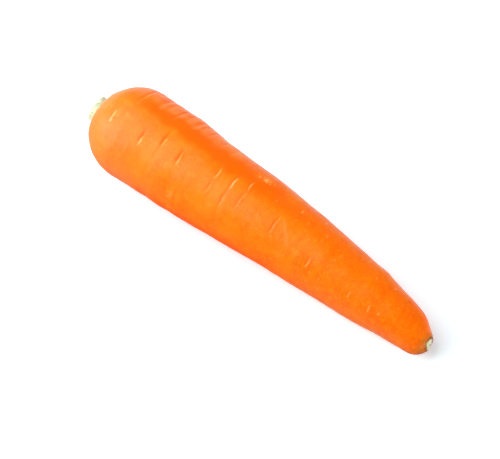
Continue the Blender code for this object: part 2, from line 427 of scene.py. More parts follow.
def add_swells(skin):
    """The swells, rings and fine wrinkles that keep the surface from being a true turned shape."""
    station = skin.station[:, None] + 0 * skin.angle[None, :]
    radius = skin.radius[:, None]
    level = np.stack([station, radius * np.cos(skin.angle), radius * np.sin(skin.angle)], axis=-1)
    banded = level * (1, 0.16, 0.16)
    open_skin = smoothstep(RECESS_RIM_RADIUS, 14, skin.radius)[:, None] * skin.outside[:, None]
    open_skin = np.where(skin.station[:, None] > ROOT_LENGTH / 2, 1, open_skin)
    near_crown = 1 - smoothstep(30, 85, station)
    skin.height += 0.12 * waves(level, size=44, seed=3) + 0.07 * waves(level, size=15, seed=4) * open_skin
    skin.height += (0.030 + 0.040 * near_crown) * waves(banded, size=9, seed=5) * open_skin
    skin.height += 0.014 * waves(banded, size=3.2, seed=6) * open_skin
    ring_lines = bell(waves(banded, size=13, seed=8), 0.07)
    ring_lines = ring_lines * smoothstep(-0.3, 0.8, waves(level, size=20, seed=9)) * open_skin
    skin.height -= 0.03 * ring_lines
    # Painted shade along the shallow ring lines.
    skin.crease = np.maximum(skin.crease, 0.25 * ring_lines)


def shape_crown(skin):
    """Folds that run from the recess over the shoulder, and the dry corky wall inside."""
    rng = np.random.default_rng(12)
    at_crown = skin.station[:, None] < CROWN_DOME
    folds = np.zeros(SEGMENTS)
    for _ in range(CROWN_FOLDS):
        turn = rng.uniform(-np.pi, np.pi)
        spread = rng.uniform(0.05, 0.16)
        folds += rng.uniform(0.2, 1) * bell(wrapped(skin.angle - turn), spread)
    window = smoothstep(6.5, 8.5, skin.radius) * (1 - smoothstep(9.5, 15.5, skin.radius))
    skin.height -= CROWN_FOLD_DEPTH * window[:, None] * folds[None, :] * at_crown
    ragged = 0.7 * waves(skin.points, size=5, seed=14) + 0.35 * waves(skin.points, size=1.8, seed=15)
    skin.height += CORK_HEIGHT * ragged * smoothstep(9.8, 8.0, skin.radius)[:, None] * at_crown
    edge = skin.radius[:, None] + 0.55 * ragged - 0.5 * folds[None, :]
    skin.cork = smoothstep(10.2, 8.3, edge) * at_crown


def mark_bands(skin):
    """Masks for the painted shade in the deep orange bands, the painted sheen over the shoulder's upper side
    where the folds lie, and what changes from the shoulder to the tip.
    """
    station = skin.station[:, None] + 0 * skin.angle[None, :]
    ragged = 0.10 * waves(skin.points * (1, 0.4, 0.4), size=11, seed=17)
    ragged += 0.06 * waves(skin.points, size=2.5, seed=18)
    ragged += 0.20 * waves(skin.points * (1, 0.2, 0.2), size=5, seed=19)
    from_top = wrapped(skin.angle[None, :] - math.radians(TOP_BAND_ANGLE) + TOP_BAND_TURN * station)
    from_low = wrapped(skin.angle[None, :] - math.radians(LOW_BAND_ANGLE))
    widening = smoothstep(18, 58, station)
    half_width = TOP_BAND_START + (BAND_HALF_WIDTH - TOP_BAND_START) * widening
    top_band = smoothstep(1.6, 0.45, np.abs(from_top) / half_width + ragged)
    top_band *= smoothstep(14, 30, station) * (1 - 0.7 * smoothstep(80, 135, station))
    low_band = smoothstep(1.6, 0.4, np.abs(from_low) / BAND_HALF_WIDTH + ragged)
    low_band *= smoothstep(24, 36, station) * (1 - smoothstep(95, 125, station))
    # Both bands are painted shade: the top one darkens the upper side between the lit zones, the low one the
    # lower -Y side.
    skin.sunned = np.maximum(top_band, 0.75 * low_band)
    # A painted sheen: paler orange over the shoulder's upper side beyond the top band, where the folds lie.
    beyond_top = from_top / BAND_HALF_WIDTH
    skin.folded = smoothstep(0.4, 1.2, beyond_top + ragged) * smoothstep(13.0, 9.0, beyond_top)
    skin.folded *= smoothstep(9, 17, station) * (1 - smoothstep(48, 80, station))
    skin.tipward = station / ROOT_LENGTH
    skin.shoulder = 1 - smoothstep(4, 46, station + 3 * waves(skin.points, size=30, seed=16))


def shape_tip(skin):
    """The trimmed tail: an oblique rough cut face with a torn edge, stained skin round it, and painted shade
    beneath it.
    """
    at_tip = skin.station[:, None] > TAIL_START
    row = np.argmin(np.where(skin.station < TAIL_START, np.inf, np.abs(skin.radius - CUT_REACH)))
    column = np.argmin(np.abs(skin.angle - math.radians(CUT_ANGLE)))
    facing = skin.normals[row, column]
    sideways = np.cross(facing, (1.0, 0.0, 0.0))
    sideways /= np.linalg.norm(sideways)
    upward = np.cross(facing, sideways)
    offset = skin.points - skin.points[row, column]
    above = offset @ facing + CUT_DEPTH
    side = offset @ sideways
    rise = offset @ upward
    distance = np.hypot(side, rise)
    uneven = waves(skin.points, size=3.0, seed=21)
    fine = waves(skin.points, size=0.9, seed=22)
    edge = above + 0.09 * uneven + 0.07 * fine
    face = smoothstep(0.24, 0.42, edge) * at_tip
    torn_edge = bell(edge - 0.10, 0.32) * at_tip
    flattened = np.maximum(above, 0) / np.maximum(skin.normals @ facing, 0.3)
    skin.height += face * 0.06 * fine - flattened * at_tip + torn_edge * (0.05 + 0.10 * fine)
    pucker = np.cos(9 * skin.angle[None, :] + 1.5 * uneven) * smoothstep(8.5, 3.0, skin.radius)[:, None]
    skin.height += 0.05 * pucker * at_tip * (1 - face)
    crumbs = bell(side + 1.3, 1.9) * bell(rise - 2.4, 1.1) * smoothstep(-0.4, 0.4, fine) * at_tip
    skin.height += 0.12 * crumbs
    skin.tip_cut = face
    skin.tip_edge = torn_edge * smoothstep(-0.9, 0.4, fine + 0.5 * uneven)
    skin.tip_crumbs = crumbs
    stain_edge = distance + 0.35 * waves(skin.points, size=6, seed=23)
    skin.tip_stain = smoothstep(6.6, 1.8, stain_edge) * at_tip
    # Painted shade on the underside round the cut tail.
    under = smoothstep(0.5, -3.5, rise + 0.45 * side + 0.6 * uneven)
    skin.tip_under = under * smoothstep(9.5, 4.5, distance + 0.5 * uneven) * at_tip


def marked_skin():
    """The root's grid with all its marks."""
    skin = bare_skin()
    add_swells(skin)
    add_lumps(skin)
    add_folds(skin)
    for scar in CHOSEN_SCARS:
        cut_scar(skin, *scar)
    for station, angle in PALE_DOTS:
        cut_scar(skin, station, angle, *DOT_SIZES)
    for scratch in SCRATCHES:
        draw_scratch(skin, *scratch)
    scatter_scars(skin)
    shape_crown(skin)
    mark_bands(skin)
    shape_tip(skin)
    return skin


# -------------------------------- meshes


def grid_faces(rows, columns):
    """Quads of a grid whose columns close into a loop."""
    row, column = np.meshgrid(np.arange(rows - 1), np.arange(columns), indexing="ij")
    here = row * columns + column
    beside = row * columns + (column + 1) % columns
    return np.stack([here, here + columns, beside + columns, beside], axis=-1).reshape(-1, 4).tolist()


def fan(hub, first, columns, outward):
    """Triangles that close one end of such a grid onto a single point."""
    faces = []
    for column in range(columns):
        here = first + column
        beside = first + (column + 1) % columns
        faces.append((hub, here, beside) if outward else (hub, beside, here))
    return faces


def closed_grid(rows, columns):
    """Faces of a whole grid: its quads, and a fan onto the point after its last one at each end."""
    count = rows * columns
    faces = grid_faces(rows, columns)
    faces += fan(count, 0, columns, outward=True)
    faces += fan(count + 1, count - columns, columns, outward=False)
    return faces


def make_piece(name, points, faces, material, masks):
    """A mesh piece that rides on the root, from points in millimetres."""
    mesh = bpy.data.meshes.new(name)
    mesh.from_pydata((np.asarray(points) * MM).tolist(), [], faces)
    for mask, values in masks.items():
        layer = mesh.attributes.new(mask, "FLOAT", "POINT")
        layer.data.foreach_set("value", np.asarray(values, np.float32).ravel())
    mesh.materials.append(material)
    mesh.shade_smooth()
    piece = bpy.data.objects.new(name, mesh)
    bpy.context.scene.collection.objects.link(piece)
    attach(piece, "root")
    return piece


def make_root(material):
    """The whole root, from the recess floor to the cut tail."""
    skin = marked_skin()
    points = skin.points + skin.normals * skin.height[..., None]
    points[..., 2] = np.maximum(points[..., 2], 0)
    crown_hub = points[0].mean(axis=0)
    tip_hub = points[-1].mean(axis=0)
    corners = np.vstack([points.reshape(-1, 3), crown_hub, tip_hub])
    names = ("pale", "crease", "cork", "shoulder", "tipward", "sunned", "folded")
    names += ("tip_cut", "tip_edge", "tip_crumbs", "tip_stain", "tip_under")
    masks = {}
    for name in names:
        values = getattr(skin, name)
        masks[name] = np.concatenate([values.ravel(), [values[0].mean(), values[-1].mean()]])
    faces = closed_grid(RINGS, SEGMENTS)
    root = make_piece("carrot_root", corners, faces, material, masks)
    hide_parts("root")


def crown_point(across, side, rise):
    """A point in millimetres from crown axes: up, towards +Y, and out of the crown."""
    return np.stack([RECESS_FLOOR_X - rise, STEM_MIDDLE_Y + side, STEM_MIDDLE_Z + across], axis=-1)


def rounded_oblong(half_long, half_thick, count):
    """Points round an oblong with well rounded corners."""
    turn = np.linspace(0, 2 * np.pi, count, endpoint=False)
    squareness = 0.55
    along = np.sign(np.cos(turn)) * np.abs(np.cos(turn)) ** squareness
    rise = np.sign(np.sin(turn)) * np.abs(np.sin(turn)) ** squareness
    return half_long * along, half_thick * rise


def make_stalk(node, ring, siblings, seed, material):
    """One cut leaf stalk: a ribbed crescent with a dished, fibrous cut face."""
    rng = np.random.default_rng(seed)
    low, high = (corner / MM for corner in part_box(node))
    middle, thickness = STALK_RINGS[ring]
    base = RECESS_FLOOR_X - STEM_LOW.x / MM + 0.05
    top = RECESS_FLOOR_X - low.x + rng.uniform(-0.5, 0.35)
    heading = math.atan2((low.y + high.y) / 2 - STEM_MIDDLE_Y, (low.z + high.z) / 2 - STEM_MIDDLE_Z)
    half_long = middle * (math.pi / siblings) - STALK_GAP / 2
    along, rise = rounded_oblong(half_long, thickness / 2, STALK_OUTLINE)
    tilt_along, tilt_rise = rng.uniform(-0.12, 0.12, 2)
    tilt = tilt_along * along + tilt_rise * rise
    ribs = 0.07 * np.cos(along * rng.uniform(4.2, 5.4) + rng.uniform(0, 6)) * (rise > 0)
    swell_start, lean_start, wobble_start = rng.uniform(0, 6, 3)
    rows = []
    cut_mask = []
    level_mask = []

    def add_row(reach, spread, height, cut, level):
        rows.append(crown_point(reach * np.cos(spread), reach * np.sin(spread), height))
        cut_mask.append(np.full(STALK_OUTLINE, cut))
        level_mask.append(np.full(STALK_OUTLINE, level))

    for share in np.linspace(0, 1, STALK_LEVELS):
        swell = 1.0 + 0.05 * math.sin(share * 5 + swell_start) - max(share - 0.9, 0)
        lean = middle + (0.45 + 0.25 * math.sin(lean_start)) * share * middle / 5
        wobble = 0.05 * np.sin(3 * np.arctan2(rise, along) + wobble_start + 2 * share)
        reach = lean + rise * swell + ribs * (1 - share) + wobble
        ragged = 0.16 * np.sin(7 * along + seed) * np.cos(5 * rise + seed) * smoothstep(0.75, 1, share)
        rim = base + share * (top - base + tilt) + ragged
        add_row(reach, heading + along * swell / middle, rim, cut=0, level=share)
    for face_ring in range(1, STALK_FACE_RINGS + 1):
        share = 1 - face_ring / (STALK_FACE_RINGS + 0.5)
        fibres = 0.07 * np.sin(9 * along * share + seed) * np.sin(11 * rise + seed)
        face = top + tilt * share - STALK_FACE_DISH * (1 - share**2) - fibres
        reach = lean + rise * swell * share
        add_row(reach, heading + along * swell * share / middle, face, cut=1 - 0.65 * share, level=1)

    corners = np.vstack([*rows, rows[0].mean(axis=0), rows[-1].mean(axis=0)])
    masks = {
        "cut": np.concatenate([*cut_mask, [0, 1]]),
        "level": np.concatenate([*level_mask, [0, 1]]),
    }
    faces = closed_grid(len(rows), STALK_OUTLINE)
    stalk = make_piece("cut_" + node, corners, faces, material, masks)
    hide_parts(node)


def make_stalks(material):
    names = sorted(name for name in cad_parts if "leaf_stalk" in name)
    for seed, name in enumerate(names, start=60):
        ring = name.split("_")[0]
        siblings = sum(other.startswith(ring) for other in names)
        make_stalk(name, ring, siblings, seed, material)


def blade(path, widths, thick, side_hint):
    """A closed tapering strip along a path: its points, and its faces from point 0."""
    points = []
    for index, (spot, width) in enumerate(zip(path, widths)):
        ahead = path[min(index + 1, len(path) - 1)] - path[max(index - 1, 0)]
        side = np.cross(ahead, side_hint)
        side /= max(np.linalg.norm(side), 1e-9)
        up = np.cross(side, ahead)
        up /= max(np.linalg.norm(up), 1e-9)
        side *= width / 2
        up *= thick / 2
        points += [spot + side, spot + up, spot - side, spot - up]
    faces = []
    for row in range(len(path) - 1):
        for corner in range(4):
            here = 4 * row + corner
            beside = 4 * row + (corner + 1) % 4
            faces.append((here, beside, beside + 4, here + 4))
    last = 4 * (len(path) - 1)
    faces += [(3, 2, 1, 0), (last, last + 1, last + 2, last + 3)]
    return points, faces


def make_blades(name, material, blades):
    """One piece out of many strips; each comes with its shade."""
    points = []
    faces = []
    shades = []
    for shade, (blade_points, blade_faces) in blades:
        start = len(points)
        points += blade_points
        faces += [tuple(start + corner for corner in face) for face in blade_faces]
        shades += [shade] * len(blade_points)
    make_piece(name, points, faces, material, {"shade": shades})


def make_shreds(material):
    """Dried shreds of old leaf bases, round the stub in the recess."""
    rng = np.random.default_rng(31)
    steps = np.linspace(0, 1, 6)
    blades = []
    for _ in range(SHREDS):
        turn = rng.uniform(-math.pi, math.pi)
        foot = rng.uniform(6.3, 7.5)
        length = rng.uniform(0.9, 2.9)
        splay = rng.uniform(-0.15, 0.75)
        drift = rng.uniform(-0.35, 0.35)
        reach = foot + splay * steps**1.5 * length * 0.6
        heading = turn + drift * steps * 0.4
        path = crown_point(reach * np.cos(heading), reach * np.sin(heading), 0.7 + steps * length)
        widths = rng.uniform(0.25, 0.75) * (1 - 0.85 * steps**2)
        outward = np.array([0.0, math.sin(turn), math.cos(turn)])
        blades.append((rng.uniform(0, 1), blade(path, widths, SHRED_THICKNESS, outward)))
    make_blades("dried_leaf_shreds", material, blades)


def make_tail_fibres(material):
    """Torn fibres round the underside of the trimmed tail."""
    rng = np.random.default_rng(52)
    steps = np.linspace(0, 1, 5)[:, None]
    side, height = centre_line(np.array(ROOT_LENGTH))
    centre = np.array([TIP_X - 1, SIDE_OFFSET + side, height - FLAT_DEPTH])
    blades = []
    for _ in range(TAIL_FIBRES):
        turn = rng.uniform(1.7, 4.3)
        outward = np.array([0.0, math.sin(turn), math.cos(turn)])
        foot = centre + outward * rng.uniform(2.2, 3.1)
        length = rng.uniform(0.6, 1.5)
        droop = np.array([0, 0, -1.0]) * rng.uniform(0, 0.5)
        ahead = np.array([1.0, 0, 0]) * rng.uniform(0.5, 1.0)
        path = foot + length * steps * (ahead + outward * rng.uniform(-0.5, 0.6)) + droop * steps**2
        path[:, 2] = np.maximum(path[:, 2], TAIL_FIBRE_LOWEST)
        widths = rng.uniform(0.22, 0.50) * (1 - 0.75 * steps[:, 0])
        blades.append((rng.uniform(0.3, 1), blade(path, widths, TAIL_FIBRE_THICKNESS, outward)))
    make_blades("tail_fibres", material, blades)


# -------------------------------- materials

# Skin colours. A pair goes from the crown to the tip, or from the dark to the light of its grain.
DEEP_ORANGE = ((0.97, 0.160, 0.004), (0.95, 0.125, 0.0))
WARM_ORANGE = ((0.98, 0.194, 0.005), (0.97, 0.150, 0.0))
# Painted shade for the deep bands, from the crown to the tip.
SUNNED_ORANGE = ((0.97, 0.121, 0.0), (0.95, 0.120, 0.0))
BAND_ORANGE = (1.0, 0.235, 0.002)
BLOTCH_ORANGE = (1.0, 0.210, 0.0)
GRAIN_ORANGE = (1.0, 0.28, 0.004)
SHOULDER_ORANGE = (1.0, 0.195, 0.035)
CLOUD_ORANGE = (1.0, 0.29, 0.030)
WISP_ORANGE = (1.0, 0.38, 0.09)
# Painted sheen over the shoulder's upper side.
FOLDED_ORANGE = (1.0, 0.25, 0.065)
# Painted shade beside scars and in ring lines.
CREASE_ORANGE = (0.98, 0.138, 0.0)
# Pale cream of the scars, also laid on as the painted highlight along the folds.
SCAR_CREAM = (0.97, 0.50, 0.16)
CROWN_CORK = ((0.30, 0.10, 0.015), (0.80, 0.46, 0.15))
# Painted shade under the tail.
TAIL_SHADE = (0.50, 0.06, 0.002)
TAIL_STAIN = (0.44, 0.165, 0.012)
TAIL_FACE = ((0.50, 0.47, 0.20), (0.84, 0.84, 0.60))
TAIL_EDGE = (0.13, 0.035, 0.004)
TAIL_CRUMBS = (0.66, 0.40, 0.14)
# Stalk colours; a pair goes from the dark to the light of its streaks or specks.
STALK_GREEN = ((0.50, 0.60, 0.34), (0.64, 0.72, 0.48))
STALK_CREAM = (0.74, 0.76, 0.54)
STALK_FOOT = (0.70, 0.60, 0.36)
STALK_FACE = ((0.44, 0.38, 0.18), (0.76, 0.70, 0.47))
STALK_RIM = (0.36, 0.24, 0.09)
STALK_STRAND = (0.30, 0.27, 0.08)
STALK_DRY = (0.56, 0.40, 0.16)
DRIED_FIBRE = ((0.20, 0.075, 0.015), (0.82, 0.64, 0.34))
KNOTTY_STEM = ((0.22, 0.13, 0.03), (0.60, 0.52, 0.22))
# Floor colours: the sheet, what it throws back under the root, and its glow near by and far off.
SHEET_WHITE = ((0.78, 0.87, 0.91), (0.80, 0.89, 0.93))
UNDER_ROOT = (0.62, 0.10, 0.0)
GLOW_SEEN = ((1.30, 1.42, 1.46), (4.6, 4.6, 4.6))
GLOW_STRENGTH = 0.22

SCATTER_DEPTH = 2.2  # millimetres that light goes into the skin and the stalks
SKIN_GLOSS = 0.22
DAMP_ROUGHNESS = (0.29, 0.38)
DRY_ROUGHNESS = 0.25  # what scars, cork and the cut add to it
WISP_SHARPNESS = 26.0
STRANDS_PER_MM = 1.5  # dots in a stalk's cut face
RING_WISE = (1, 0.12, 0.12)  # stretches a pattern round the root
STALK_WISE = (0.15, 1, 1)  # stretches a pattern along the stalks


def add_node(tree, kind, inputs=None, **settings):
    """Adds a node, sets its properties, and sets or links its inputs."""
    made = tree.nodes.new(kind)
    for name, value in settings.items():
        setattr(made, name, value)
    for name, value in (inputs or {}).items():
        feed(tree, made.inputs[name], value)
    return made


def feed(tree, socket, value):
    """Links a socket to an output, or sets its value; a colour gets its alpha."""
    if isinstance(value, bpy.types.NodeSocket):
        tree.links.new(value, socket)
    elif socket.type == "RGBA":
        socket.default_value = (*value, 1.0)
    else:
        socket.default_value = value


def mix_colour(tree, factor, first, second):
    """The output of a colour mix; each argument is a value or a socket."""
    # A mix's sockets share their names, so they go by number: 6, 7 and output 2 are its colours.
    made = add_node(tree, "ShaderNodeMix", data_type="RGBA")
    feed(tree, made.inputs[0], factor)
    feed(tree, made.inputs[6], first)
    feed(tree, made.inputs[7], second)
    return made.outputs[2]


def calculate(tree, operation, first, second=0.0, clamp=False):
    """The output of a Math node; each operand is a value or a socket."""
    made = add_node(tree, "ShaderNodeMath", {0: first, 1: second}, operation=operation, use_clamp=clamp)
    return made.outputs[0]


def product(tree, *factors):
    total = factors[0]
    for factor in factors[1:]:
        total = calculate(tree, "MULTIPLY", total, factor)
    return total


def inverse(tree, mask):
    return calculate(tree, "SUBTRACT", 1.0, mask)


def ramp(tree, value, low, high, start=0.0, end=1.0):
    """Goes from start to end as the value goes from low to high, and no further."""
    ends = {"Value": value, "From Min": low, "From Max": high, "To Min": start, "To Max": end}
    return add_node(tree, "ShaderNodeMapRange", ends).outputs["Result"]


def lay(tree, under, tint, mask, share=1.0):
    """Lays a tint over a colour where a mask is, up to this share."""
    return mix_colour(tree, calculate(tree, "MULTIPLY", mask, share), under, tint)


def mask_of(tree, name):
    """One of the masks that the mesh carries."""
    return add_node(tree, "ShaderNodeAttribute", attribute_name=name).outputs["Fac"]


def new_group(name, inputs, outputs):
    """An empty shader node group with these named float, vector or colour sockets."""
    group = bpy.data.node_groups.new(name, "ShaderNodeTree")
    for socket, (kind, value) in inputs.items():
        made = group.interface.new_socket(socket, in_out="INPUT", socket_type=kind)
        made.default_value = value
    for socket, kind in outputs.items():
        group.interface.new_socket(socket, in_out="OUTPUT", socket_type=kind)
    return group, group.nodes.new("NodeGroupInput").outputs, group.nodes.new("NodeGroupOutput").inputs


def mottle_group():
    """Irregular patches of a given size in millimetres; a Stretch below 1 draws them out along its axis."""
    group, given, result = new_group(
        "mottle",
        {
            "Size": ("NodeSocketFloat", 10.0),
            "Stretch": ("NodeSocketVector", (1.0, 1.0, 1.0)),
            "Detail": ("NodeSocketFloat", 2.0),
            "From": ("NodeSocketFloat", 0.35),
            "To": ("NodeSocketFloat", 0.65),
        },
        {"Mask": "NodeSocketFloat"},
    )
    place = add_node(group, "ShaderNodeTexCoord").outputs["Object"]
    in_mm = add_node(group, "ShaderNodeVectorMath", {0: place, "Scale": 1 / MM}, operation="SCALE")
    stretch = {0: in_mm.outputs[0], 1: given["Stretch"]}
    stretched = add_node(group, "ShaderNodeVectorMath", stretch, operation="MULTIPLY")
    scale = calculate(group, "DIVIDE", 1.0, given["Size"])
    noise = add_node(
        group,
        "ShaderNodeTexNoise",
        {"Vector": stretched.outputs[0], "Scale": scale, "Detail": given["Detail"], "Roughness": 0.55},
    )
    spread = add_node(
        group,
        "ShaderNodeMapRange",
        {"Value": noise.outputs["Fac"], "From Min": given["From"], "From Max": given["To"]},
        interpolation_type="SMOOTHSTEP",
    )
    group.links.new(spread.outputs["Result"], result["Mask"])
    return group


def mottle(tree, group, size, stretch=(1, 1, 1), detail=2.0, low=0.35, high=0.65):
    """One use of the mottle group: its mask."""
    values = {"Size": size, "Stretch": stretch, "Detail": detail, "From": low, "To": high}
    return add_node(tree, "ShaderNodeGroup", values, node_tree=group).outputs["Mask"]


def new_material(name, roughness=0.5):
    """A material, with its tree and its shader ready to be filled."""
    made = bpy.data.materials.new(name)
    made.use_nodes = True
    shader = made.node_tree.nodes["Principled BSDF"]
    shader.inputs["Roughness"].default_value = roughness
    return made, made.node_tree, shader


def let_light_in(shader, weight, scatter):
    """Light that goes a little way in and comes out again: how much, and how far red, green and blue go."""
    shader.inputs["Subsurface Weight"].default_value = weight
    shader.inputs["Subsurface Radius"].default_value = scatter
    shader.inputs["Subsurface Scale"].default_value = SCATTER_DEPTH * MM


def add_bump(tree, shader, height, strength, distance):
    """A bump whose distance is in millimetres."""
    inputs = {"Height": height, "Strength": strength, "Distance": distance * MM}
    bump = add_node(tree, "ShaderNodeBump", inputs)
    tree.links.new(bump.outputs["Normal"], shader.inputs["Normal"])


def wisps_of(tree, group):
    """Thin wandering lines, where a slow pattern crosses its middle value."""
    drift = mottle(tree, group, 6.0, stretch=(1, 0.6, 0.6), detail=3.0, low=0.0, high=1.0)
    from_middle = calculate(tree, "ABSOLUTE", calculate(tree, "SUBTRACT", drift, 0.5))
    fall = calculate(tree, "MULTIPLY", from_middle, WISP_SHARPNESS)
    return calculate(tree, "SUBTRACT", 1.0, fall, clamp=True)


def orange_skin(tree, group):
    """Mottled orange that deepens towards the tip, with fine bands, grain and pale wisps over it, a painted
    sheen over the shoulder's upper side and painted shade in two deep bands.
    """
    tipward = mask_of(tree, "tipward")
    bands = mottle(tree, group, 3.2, stretch=RING_WISE, detail=4.0, low=0.46, high=0.66)
    blotches = mottle(tree, group, 2.4, detail=4.0, low=0.44, high=0.60)
    grain = mottle(tree, group, 0.9, detail=4.0, low=0.52, high=0.66)
    clouds = mottle(tree, group, 5.0, detail=5.0, low=0.50, high=0.66)
    clouds = product(tree, clouds, inverse(tree, tipward))
    wisps = product(tree, wisps_of(tree, group), bands, clouds)
    deep = mix_colour(tree, tipward, *DEEP_ORANGE)
    warm = mix_colour(tree, tipward, *WARM_ORANGE)
    sunned = mix_colour(tree, tipward, *SUNNED_ORANGE)
    colour = mix_colour(tree, mottle(tree, group, 13, detail=3.0), deep, warm)
    colour = lay(tree, colour, BAND_ORANGE, bands, ramp(tree, tipward, 0, 1, start=0.44, end=0.10))
    colour = lay(tree, colour, BLOTCH_ORANGE, blotches, 0.40)
    colour = lay(tree, colour, GRAIN_ORANGE, grain, 0.38)
    colour = lay(tree, colour, SHOULDER_ORANGE, mask_of(tree, "shoulder"), 0.45)
    colour = lay(tree, colour, CLOUD_ORANGE, clouds, 0.35)
    colour = lay(tree, colour, WISP_ORANGE, wisps, 0.70)
    # Painted sheen over the shoulder's upper side.
    colour = lay(tree, colour, FOLDED_ORANGE, mask_of(tree, "folded"), 0.60)
    # Painted shade in the deep bands.
    return lay(tree, colour, sunned, mask_of(tree, "sunned"), 0.85)


def skin_material(group):
    """Washed carrot skin: mottled orange with pale cross scars, a dry crown and a stained, cut tail, with
    painted shade beside the scars and under the tail.
    """
    made, tree, shader = new_material("washed_carrot_skin")
    shader.inputs["Specular IOR Level"].default_value = SKIN_GLOSS
    let_light_in(shader, 0.12, (1.0, 0.3, 0.06))
    pale = mask_of(tree, "pale")
    cork = mask_of(tree, "cork")
    tail_face = mask_of(tree, "tip_cut")
    flecks = calculate(tree, "ADD", mottle(tree, group, 0.8, detail=1.0, low=0.2, high=0.6), 0.45)
    cork_grain = mottle(tree, group, 1.1, detail=3.0, low=0.3, high=0.62)
    fibre = mottle(tree, group, 0.55, low=0.3, high=0.6)
    # Painted shade beside scars and in ring lines.
    colour = lay(tree, orange_skin(tree, group), CREASE_ORANGE, mask_of(tree, "crease"), 0.92)
    # Pale cream of the scars and dots, and the painted highlight along the folds.
    colour = lay(tree, colour, SCAR_CREAM, pale, flecks)
    # Painted shade under the tail.
    colour = lay(tree, colour, TAIL_SHADE, mask_of(tree, "tip_under"), 0.75)
    colour = lay(tree, colour, TAIL_STAIN, mask_of(tree, "tip_stain"), 0.92)
    colour = lay(tree, colour, mix_colour(tree, cork_grain, *CROWN_CORK), cork)
    colour = lay(tree, colour, mix_colour(tree, fibre, *TAIL_FACE), tail_face)
    colour = lay(tree, colour, TAIL_EDGE, mask_of(tree, "tip_edge"))
    colour = lay(tree, colour, TAIL_CRUMBS, mask_of(tree, "tip_crumbs"))
    tree.links.new(colour, shader.inputs["Base Color"])
    damp = ramp(tree, mottle(tree, group, 6.0, detail=3.0), 0, 1, *DAMP_ROUGHNESS)
    dry = calculate(tree, "MAXIMUM", calculate(tree, "MAXIMUM", pale, cork), tail_face)
    rough = calculate(tree, "ADD", damp, calculate(tree, "MULTIPLY", dry, DRY_ROUGHNESS), clamp=True)
    tree.links.new(rough, shader.inputs["Roughness"])
    lines = mottle(tree, group, 1.0, stretch=(1, 0.14, 0.14), detail=3.0, low=0.2, high=0.8)
    pores = mottle(tree, group, 0.7, detail=3.0, low=0.2, high=0.8)
    relief = calculate(tree, "ADD", lines, calculate(tree, "MULTIPLY", pores, 0.9))
    add_bump(tree, shader, relief, strength=0.36, distance=0.13)
    return made


def stalk_material(group):
    """Cut leaf stalk: pale green, some of it cream, tan at the foot, with a dry, speckled cut face."""
    made, tree, shader = new_material("cut_leaf_stalk", roughness=0.55)
    let_light_in(shader, 0.18, (0.8, 0.9, 0.4))
    cut = mask_of(tree, "cut")
    streaks = mottle(tree, group, 0.8, stretch=STALK_WISE, detail=3.0)
    patches = mottle(tree, group, 7.0, detail=1.0, low=0.40, high=0.60)
    specks = mottle(tree, group, 0.42, high=0.6)
    dry = mottle(tree, group, 2.2, detail=3.0, low=0.50, high=0.70)
    place = add_node(tree, "ShaderNodeTexCoord").outputs["Object"]
    strands = add_node(tree, "ShaderNodeTexVoronoi", {"Vector": place, "Scale": STRANDS_PER_MM / MM})
    dots = product(tree, ramp(tree, strands.outputs["Distance"], 0.30, 0.14), cut)
    green = mix_colour(tree, streaks, *STALK_GREEN)
    colour = mix_colour(tree, patches, STALK_CREAM, green)
    colour = lay(tree, colour, STALK_FOOT, ramp(tree, mask_of(tree, "level"), 0.55, 0.0))
    face = mix_colour(tree, specks, *STALK_FACE)
    face = lay(tree, face, STALK_RIM, ramp(tree, cut, 0.72, 0.38), 0.5)
    colour = lay(tree, colour, face, cut)
    colour = lay(tree, colour, STALK_STRAND, dots, 0.6)
    colour = lay(tree, colour, STALK_DRY, dry, 0.28)
    tree.links.new(colour, shader.inputs["Base Color"])
    add_bump(tree, shader, calculate(tree, "ADD", streaks, specks), strength=0.5, distance=0.12)
    return made


def fibre_material(group):
    """Dried plant fibre, from tan to dark brown."""
    made, tree, shader = new_material("dried_fibre", roughness=0.75)
    grain = mottle(tree, group, 0.7, stretch=(0.4, 1, 1), detail=3.0)
    own_shade = calculate(tree, "MULTIPLY", mask_of(tree, "shade"), 0.7)
    shade = calculate(tree, "ADD", calculate(tree, "MULTIPLY", grain, 0.4), own_shade)
    tree.links.new(mix_colour(tree, shade, *DRIED_FIBRE), shader.inputs["Base Color"])
    add_bump(tree, shader, grain, strength=0.4, distance=0.08)
    return made


def stem_material(group):
    """The knotty stem between the stalks."""
    made, tree, shader = new_material("knotty_stem", roughness=0.7)
    knots = mottle(tree, group, 1.3, detail=4.0)
    tree.links.new(mix_colour(tree, knots, *KNOTTY_STEM), shader.inputs["Base Color"])
    add_bump(tree, shader, knots, strength=0.8, distance=0.4)
    return made


